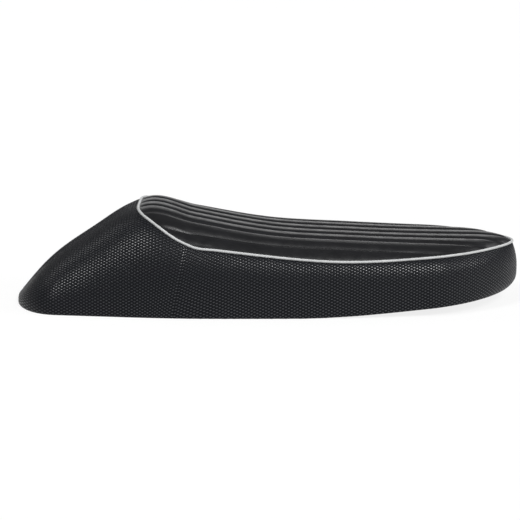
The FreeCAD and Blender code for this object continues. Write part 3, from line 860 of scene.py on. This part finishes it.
class SEAT_OT_side_panels(bpy.types.Operator):
    """Woven-look panels: one over the tail, one round the sides and the nose"""
    bl_idname = "seat.side_panels"
    bl_label = "Side Panels"

    def execute(self, context):
        props = context.scene.seat_side
        material = weave_vinyl(props.colour, props.relief)
        step = props.warp_pitch / COLUMNS_PER_STRAND
        tail = tail_stations(step)
        vertices, faces, strands = mirrored(*side_panel(tail, JOIN_X - tail, np.zeros(len(tail)), props))
        panel = outward(new_object("tail_panel", vertices, faces, material, pattern=strands))
        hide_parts("tail_cover")
        vertices, faces, strands = mirrored(*side_panel(*band_stations(step), props))
        band = outward(new_object("side_band", vertices, faces, material, pattern=strands))
        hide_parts("side_cover", "hem_strip")
        return {"FINISHED"}


def tube(path, normals, radius, sides, closed):
    """Vertices and faces of a round cord along a path, with its frame set by the path's normals."""
    ahead = np.roll(path, -1, axis=0) - np.roll(path, 1, axis=0)
    if not closed:
        ahead[0], ahead[-1] = path[1] - path[0], path[-1] - path[-2]
    ahead /= np.linalg.norm(ahead, axis=1, keepdims=True)
    out = normals - ahead * (normals * ahead).sum(axis=1, keepdims=True)
    out /= np.linalg.norm(out, axis=1, keepdims=True)
    across = np.cross(ahead, out)
    angle = (np.arange(sides) * 2 * math.pi / sides)[None, :, None]
    ring = out[:, None, :] * np.cos(angle) + across[:, None, :] * np.sin(angle)
    vertices = (path[:, None, :] + ring * radius[:, None, None]).reshape(-1, 3)
    count = len(path)
    faces = []
    for i in range(count if closed else count - 1):
        j = (i + 1) % count
        for k in range(sides):
            m = (k + 1) % sides
            faces.append((i * sides + k, i * sides + m, j * sides + m, j * sides + k))
    return vertices, faces


class SEAT_OT_piping(bpy.types.Operator):
    """Pale cord sewn into the seam between saddle and sides"""
    bl_idname = "seat.piping"
    bl_label = "Piping"

    def execute(self, context):
        props = context.scene.seat_piping
        points, normals = seam_path(PIPING_POINTS)
        points = points + normals * PIPING_LIFT
        path = np.concatenate([points, (points * MIRROR)[-2:0:-1]])
        facing = np.concatenate([normals, (normals * MIRROR)[-2:0:-1]])
        swell = np.ones(len(path))
        for share, turn, start in PIPING_WAVES:
            swell += share * np.sin(np.arange(len(path)) * turn + start)
        vertices, faces = tube(path, facing, props.diameter / 2 * swell, PIPING_SIDES, True)
        cord = new_object("piping_cord", vertices, faces, piping_vinyl(props.colour))
        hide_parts("piping")
        return {"FINISHED"}


def saddle_grid(props, edge):
    """Places of the saddle's vertices in plan, a row across for each point of its edge.

    The rows lie close together beside the sewn lines. Near the edge they are squeezed to follow it.
    """
    half = edge[:, 1]
    widest = float(half.max())
    lines = [props.pleat_pitch * (k + share) for k in range(props.pleat_count) for share in PLEAT_SHARES]
    outer = props.pleat_pitch * props.pleat_count
    lines += [outer + step for step in OUTER_STEPS]
    lines += list(np.linspace(outer + BAND_STEP, widest, BAND_LINES))
    lines = np.array(lines)
    band = np.minimum(BAND_WIDTH, BAND_SHARE * half)[:, None]
    start = half[:, None] - band
    beyond = start + (lines - start) / (widest - start) * band
    y = np.where(lines <= start, lines, beyond)
    x = np.repeat(edge[:, :1], len(lines), axis=1)
    return x, y


def saddle_height(x, y, edge, props):
    """Height of the saddle without its pleats, and the distance from its edge."""
    rim, crest = rim_line(x), crest_line(x)
    half = rim_half(np.minimum(x, LENGTH / 2 - NOSE_GAP))
    share = np.clip(y / np.maximum(half, TINY), 0.0, 1.0)
    bare = rim + (crest - rim) * (1 - share ** CROWN) ** (1 / fullness(x))
    places = np.stack([x, y, bare], axis=-1).reshape(-1, 3)
    near = np.empty(len(places), int)
    away = np.empty(len(places))
    plan = np.empty(len(places))
    for i in range(0, len(places), PLACES_AT_ONCE):
        part = slice(i, i + PLACES_AT_ONCE)
        away[part] = np.linalg.norm(places[part, None, :] - edge[None, :, :], axis=2).min(axis=1)
        flat = np.linalg.norm(places[part, None, :2] - edge[None, :, :2], axis=2)
        near[part] = flat.argmin(axis=1)
        plan[part] = flat.min(axis=1)
    edge_z = edge[near, 2].reshape(x.shape)
    away, plan = away.reshape(x.shape), plan.reshape(x.shape)
    run = EDGE_RUN
    for more, start, length in EDGE_RUN_BACK:
        run = run + more * smoothstep((start - x) / length)
    height = bare + props.padding * (1 - np.exp(-away / run))
    roll = edge_z + ROLL_RISE * (1 - np.exp(-np.maximum(plan - ROLL_START, 0.0) / ROLL_RUN))
    roll = roll + ROLL_FREE * smoothstep((ROLL_END - x) / ROLL_END_RUN)
    soft = ROLL_SOFT + ROLL_SOFT_NOSE * smoothstep((x - ROLL_SOFT_START) / ROLL_SOFT_RUN)
    height = height - soft * np.log1p(np.exp((height - roll) / soft))
    return height, away


def pleat_relief(y, away, props):
    """How far the sewn lines draw the saddle down, and the distance from the nearest one."""
    pitch = props.pleat_pitch
    outer = pitch * props.pleat_count
    inside = y < outer
    beside = np.where(inside, np.abs(y / pitch - np.round(y / pitch)) * pitch, np.abs(y - outer))
    rounding = (1 - np.clip(beside / (pitch / 2), 0.0, 1.0)) ** PLEAT_POWER
    drawn = np.where(inside, rounding, np.exp(-beside / OUTER_RUN))
    groove = np.exp(-(beside / GROOVE_HALF) ** 2)
    fade = 1 - np.exp(-np.maximum(away - FADE_START, 0.0) / FADE_RUN)
    return -(PLEAT_SHARE * drawn + GROOVE_SHARE * groove) * props.pleat_depth * fade, beside


def puff_up(obj, held, limit):
    """Blows the cover up a little between the held points by a cloth simulation, and keeps the result."""
    scene = bpy.context.scene
    pins = obj.vertex_groups.new(name="sewn")
    pins.add([int(i) for i in np.nonzero(held)[0]], 1.0, "REPLACE")
    cloth = obj.modifiers.new("puff", "CLOTH")
    settings = cloth.settings
    settings.quality = 4
    settings.mass = 0.25
    settings.tension_stiffness = settings.compression_stiffness = 12.0
    settings.shear_stiffness = 4.0
    settings.bending_stiffness = 0.4
    settings.vertex_group_mass = "sewn"
    settings.use_pressure = True
    settings.uniform_pressure_force = 4.0
    settings.effector_weights.gravity = 0.0
    cloth.collision_settings.use_collision = False
    cloth.point_cache.frame_start, cloth.point_cache.frame_end = 1, PUFF_FRAMES
    before = vertex_table(obj.data)
    for step in range(1, PUFF_FRAMES + 1):
        scene.frame_set(step)
    shaped = obj.evaluated_get(bpy.context.evaluated_depsgraph_get())
    moved = vertex_table(shaped.data) - before
    size = np.linalg.norm(moved, axis=1)
    moved *= (np.minimum(size, limit) / np.maximum(size, TINY))[:, None]
    obj.modifiers.remove(cloth)
    obj.vertex_groups.remove(pins)
    scene.frame_set(1)
    obj.data.vertices.foreach_set("co", (before + moved).ravel())
    obj.data.update()


def lined(top, skin, at_edge, depth):
    """Closes a cover from below with a lining that shares its edge."""
    lower = np.arange(len(top))
    lower[~at_edge] = len(top) + np.arange((~at_edge).sum())
    under = (top - UP * depth[:, None])[~at_edge]
    lining = [[int(lower[i]) for i in reversed(f)] for f in skin]
    lining = [f for f, g in zip(lining, skin) if set(f) != set(g)]
    return np.concatenate([top, under]), skin + lining


def sew(props, seam, edge):
    """Rows of stitches: one in each sewn line, one beside the outer lines."""
    rows = [props.pleat_pitch * k for k in range(props.pleat_count + 1)]
    rows.append(rows[-1] + OUTER_ROW)
    points = len(STITCH_LIFT)
    facing = np.tile(UP, (points, 1))
    front_cap = (points - 1) * STITCH_SIDES
    vertices, faces = [], []
    base = 0
    for y in rows:
        wide = seam[seam[:, 1] > y + STITCH_SIDE_GAP, 0]
        first, last = wide.min() + STITCH_REAR_GAP, wide.max() - STITCH_FRONT_GAP
        count = int((last - first) / props.stitch)
        ends = first + np.arange(count) * props.stitch
        x = ends[:, None] + np.linspace(0.0, STITCH_SHARE, points) * props.stitch
        flat_y = np.full(x.shape, y)
        height, away = saddle_height(x, flat_y, edge, props)
        z = height + pleat_relief(flat_y, away, props)[0] + STITCH_LIFT
        for side in ((1.0, -1.0) if y > 0 else (1.0,)):
            for path in np.stack([x, side * flat_y, z], axis=-1):
                ring, skin = tube(path, facing, STITCH_RADII, STITCH_SIDES, False)
                skin.append(tuple(reversed(range(STITCH_SIDES))))
                skin.append(tuple(range(front_cap, front_cap + STITCH_SIDES)))
                faces += [tuple(base + k for k in f) for f in skin]
                vertices.append(ring)
                base += len(ring)
    new_object("saddle_stitching", np.concatenate(vertices), faces, sewing_thread(props.thread))


class SEAT_OT_saddle(bpy.types.Operator):
    """Pleated saddle cover with its wadding and stitches, puffed up between the sewn lines"""
    bl_idname = "seat.saddle"
    bl_label = "Saddle Cover"

    def execute(self, context):
        props = context.scene.seat_saddle
        edge = seam_path(SADDLE_STATIONS)[0]
        seam = seam_path(SEAM_POINTS)[0]
        seam_loop = np.concatenate([seam, seam * MIRROR])
        x, y = saddle_grid(props, edge)
        height, away = saddle_height(x, y, seam_loop, props)
        relief, beside = pleat_relief(y, away, props)
        z = height + relief
        z[:, -1] = edge[:, 2]
        z[0], z[-1] = edge[0, 2], edge[-1, 2]
        ids = np.arange(x.size).reshape(x.shape)
        ids[0], ids[-1] = ids[0, 0], ids[-1, 0]
        used, ids = np.unique(ids, return_inverse=True)
        ids = ids.reshape(x.shape)
        points = np.stack([x, y, z], axis=-1).reshape(-1, 3)[used]
        points[np.abs(points[:, 1]) < ON_MIDDLE, 1] = 0.0
        at_edge = np.zeros(len(used), bool)
        at_edge[ids[:, -1]] = at_edge[ids[0]] = at_edge[ids[-1]] = True
        sewn = at_edge | (beside.ravel()[used] < SEWN_NEAR)
        depth = (LINING_DEPTH * (1 - np.exp(-away / LINING_RUN))).ravel()[used]
        vertices, faces, at_edge, sewn, depth = mirrored(points, grid_faces(ids), at_edge, sewn, depth)
        skin = outward(new_object("saddle_skin", vertices, faces, None, body=None))
        puff_up(skin, sewn, PUFF_LIMIT)
        faces = [list(p.vertices) for p in skin.data.polygons]
        vertices, faces = lined(vertex_table(skin.data), faces, at_edge, depth)
        bpy.data.objects.remove(skin)
        cover = new_object("saddle_cushion", vertices, faces, saddle_vinyl(props.colour))
        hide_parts("top_cover")
        sew(props, seam, seam_loop)
        return {"FINISHED"}


def finish_nodes(material, *names):
    """Gives solids of the frame their finish."""
    for name in names:
        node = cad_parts[name]
        node.data.materials.clear()
        node.data.materials.append(material)


class SEAT_OT_hardware(bpy.types.Operator):
    """Finishes of the pan, hinge, catch, fasteners and buffers"""
    bl_idname = "seat.hardware"
    bl_label = "Pan and Hardware"

    def execute(self, context):
        props = context.scene.seat_hardware
        finish_nodes(black_enamel(props.pan), "base_pan")
        finish_nodes(zinc_plate(props.zinc), "hinge_bracket", "hinge_leaf", "hinge_pin", "hinge_clip",
                     "hinge_bolts", "hinge_washers", "catch_plate", "catch_bar", "catch_bolts",
                     "catch_washers", "weld_nuts")
        finish_nodes(rivet_alloy(props.rivet), "hem_rivets")
        finish_nodes(buffer_rubber(props.rubber), "buffer_front_left", "buffer_front_right",
                     "buffer_rear_left", "buffer_rear_right")
        return {"FINISHED"}


def background_mask(tree):
    """1 for rays that see the background: from the camera, a glossy surface or through glass."""
    rays = tree.nodes.new("ShaderNodeLightPath").outputs
    seen = calc(tree, "MAXIMUM", rays["Is Camera Ray"], rays["Is Glossy Ray"])
    return calc(tree, "MAXIMUM", seen, rays["Is Transmission Ray"])


def floor_paper():
    """Grey paper that glows white for the rays that see the background."""
    material = bpy.data.materials.new("floor_paper")
    material.use_nodes = True
    tree = material.node_tree
    tree.nodes.clear()
    paper = tree.nodes.new("ShaderNodeBsdfDiffuse")
    paper.inputs["Color"].default_value = (PAPER_GREY, PAPER_GREY, PAPER_GREY, 1.0)
    glow = tree.nodes.new("ShaderNodeEmission")
    glow.inputs["Strength"].default_value = BACKGROUND_GLOW
    clear = tree.nodes.new("ShaderNodeEmission")
    clear.inputs["Strength"].default_value = 0.0
    pick = tree.nodes.new("ShaderNodeMixShader")
    both = tree.nodes.new("ShaderNodeAddShader")
    out = tree.nodes.new("ShaderNodeOutputMaterial")
    tree.links.new(background_mask(tree), pick.inputs["Fac"])
    tree.links.new(clear.outputs["Emission"], pick.inputs[1])
    tree.links.new(glow.outputs["Emission"], pick.inputs[2])
    tree.links.new(paper.outputs["BSDF"], both.inputs[0])
    tree.links.new(pick.outputs["Shader"], both.inputs[1])
    tree.links.new(both.outputs["Shader"], out.inputs["Surface"])
    return material


def fill_light(level):
    """An even white world."""
    world = bpy.data.worlds.new("studio")
    world.use_nodes = True
    tree = world.node_tree
    tree.nodes.clear()
    fill = tree.nodes.new("ShaderNodeBackground")
    fill.inputs["Color"].default_value = (1.0, 1.0, 1.0, 1.0)
    fill.inputs["Strength"].default_value = level
    out = tree.nodes.new("ShaderNodeOutputWorld")
    tree.links.new(fill.outputs["Background"], out.inputs["Surface"])
    return world


def look_at(name, data, aim, azimuth, elevation, distance):
    """Puts a lamp or camera round from the front and above the floor of a point, looking at it."""
    level = math.cos(elevation)
    back = Vector((math.sin(azimuth) * level, -math.cos(azimuth) * level, math.sin(elevation)))
    obj = bpy.data.objects.new(name, data)
    obj.location = aim + back * distance
    obj.rotation_euler = (-back).to_track_quat("-Z", "Y").to_euler()
    bpy.context.scene.collection.objects.link(obj)
    return obj


class SEAT_OT_stage(bpy.types.Operator):
    """Floor, soft light and camera"""
    bl_idname = "seat.stage"
    bl_label = "Stage"

    def execute(self, context):
        props = context.scene.seat_stage
        scene = context.scene
        scene.view_settings.view_transform = "Standard"

        turn = np.linspace(0.0, math.pi / 2, SWEEP_POINTS)
        sweep = zip(SWEEP_START + SWEEP_RADIUS * np.sin(turn), SWEEP_RADIUS * (1 - np.cos(turn)))
        rise = [(FLOOR_FRONT, 0.0), *sweep, (SWEEP_START + SWEEP_RADIUS, BACKDROP_TOP)]
        halves = [FLOOR_HALF, FLOOR_HALF] + [BACKDROP_HALF] * (len(rise) - 2)
        sheet = [(side * half, y, z) for half, (y, z) in zip(halves, rise) for side in (-1, 1)]
        strips = [(2 * i, 2 * i + 1, 2 * i + 3, 2 * i + 2) for i in range(len(rise) - 1)]
        floor = new_object("studio_sweep", sheet, strips, floor_paper(), body=None)

        scene.world = fill_light(props.fill)
        for name, azimuth, elevation, share in LAMPS:
            light = bpy.data.lights.new(name, "SUN")
            light.angle = props.key_angle
            light.energy = props.key_power * share
            look_at(name, light, Vector(), math.radians(azimuth), math.radians(elevation), LAMP_DISTANCE)

        camera = bpy.data.cameras.new("camera")
        camera.lens = props.lens
        camera.sensor_width = SENSOR_WIDTH
        camera.shift_x, camera.shift_y = CAMERA_SHIFT
        camera.clip_end = CAMERA_REACH
        aim = Vector((0.0, 0.0, props.target_height))
        scene.camera = look_at("camera", camera, aim, 0.0, props.elevation, props.distance)
        return {"FINISHED"}


class SEAT_PT_panel(bpy.types.Panel):
    """Sizes, colours and pieces of the seat"""
    bl_label = "Seat"
    bl_idname = "SEAT_PT_panel"
    bl_space_type = "VIEW_3D"
    bl_region_type = "UI"
    bl_category = "Seat"

    def draw(self, context):
        for group, operators in PANEL_ROWS:
            box = self.layout.box()
            props = getattr(context.scene, group)
            for key in props.__annotations__:
                box.prop(props, key)
            for operator in operators:
                box.operator(operator)


PANEL_ROWS = (
    ("seat_side", ("seat.side_panels",)),
    ("seat_saddle", ("seat.saddle",)),
    ("seat_piping", ("seat.piping",)),
    ("seat_hardware", ("seat.foam", "seat.hardware")),
    ("seat_stage", ("seat.stage",)),
)

GROUPS = {
    "seat_side": SeatSideProps,
    "seat_saddle": SeatSaddleProps,
    "seat_piping": SeatPipingProps,
    "seat_hardware": SeatHardwareProps,
    "seat_stage": SeatStageProps,
}

OPERATORS = (SEAT_OT_foam, SEAT_OT_side_panels, SEAT_OT_piping, SEAT_OT_saddle, SEAT_OT_hardware,
             SEAT_OT_stage)


def register():
    """Registers the classes and gives the scene their fields."""
    for cls in (*GROUPS.values(), *OPERATORS, SEAT_PT_panel):
        bpy.utils.register_class(cls)
    for name, group in GROUPS.items():
        setattr(bpy.types.Scene, name, PointerProperty(type=group))


def unregister():
    """Takes back what register does."""
    for name in GROUPS:
        delattr(bpy.types.Scene, name)
    for cls in (SEAT_PT_panel, *reversed(OPERATORS), *reversed(list(GROUPS.values()))):
        bpy.utils.unregister_class(cls)


def main():
    register()
    bpy.ops.seat.foam()
    bpy.ops.seat.side_panels()
    bpy.ops.seat.piping()
    bpy.ops.seat.saddle()
    bpy.ops.seat.hardware()
    bpy.ops.seat.stage()


if __name__ == "__main__":
    main()
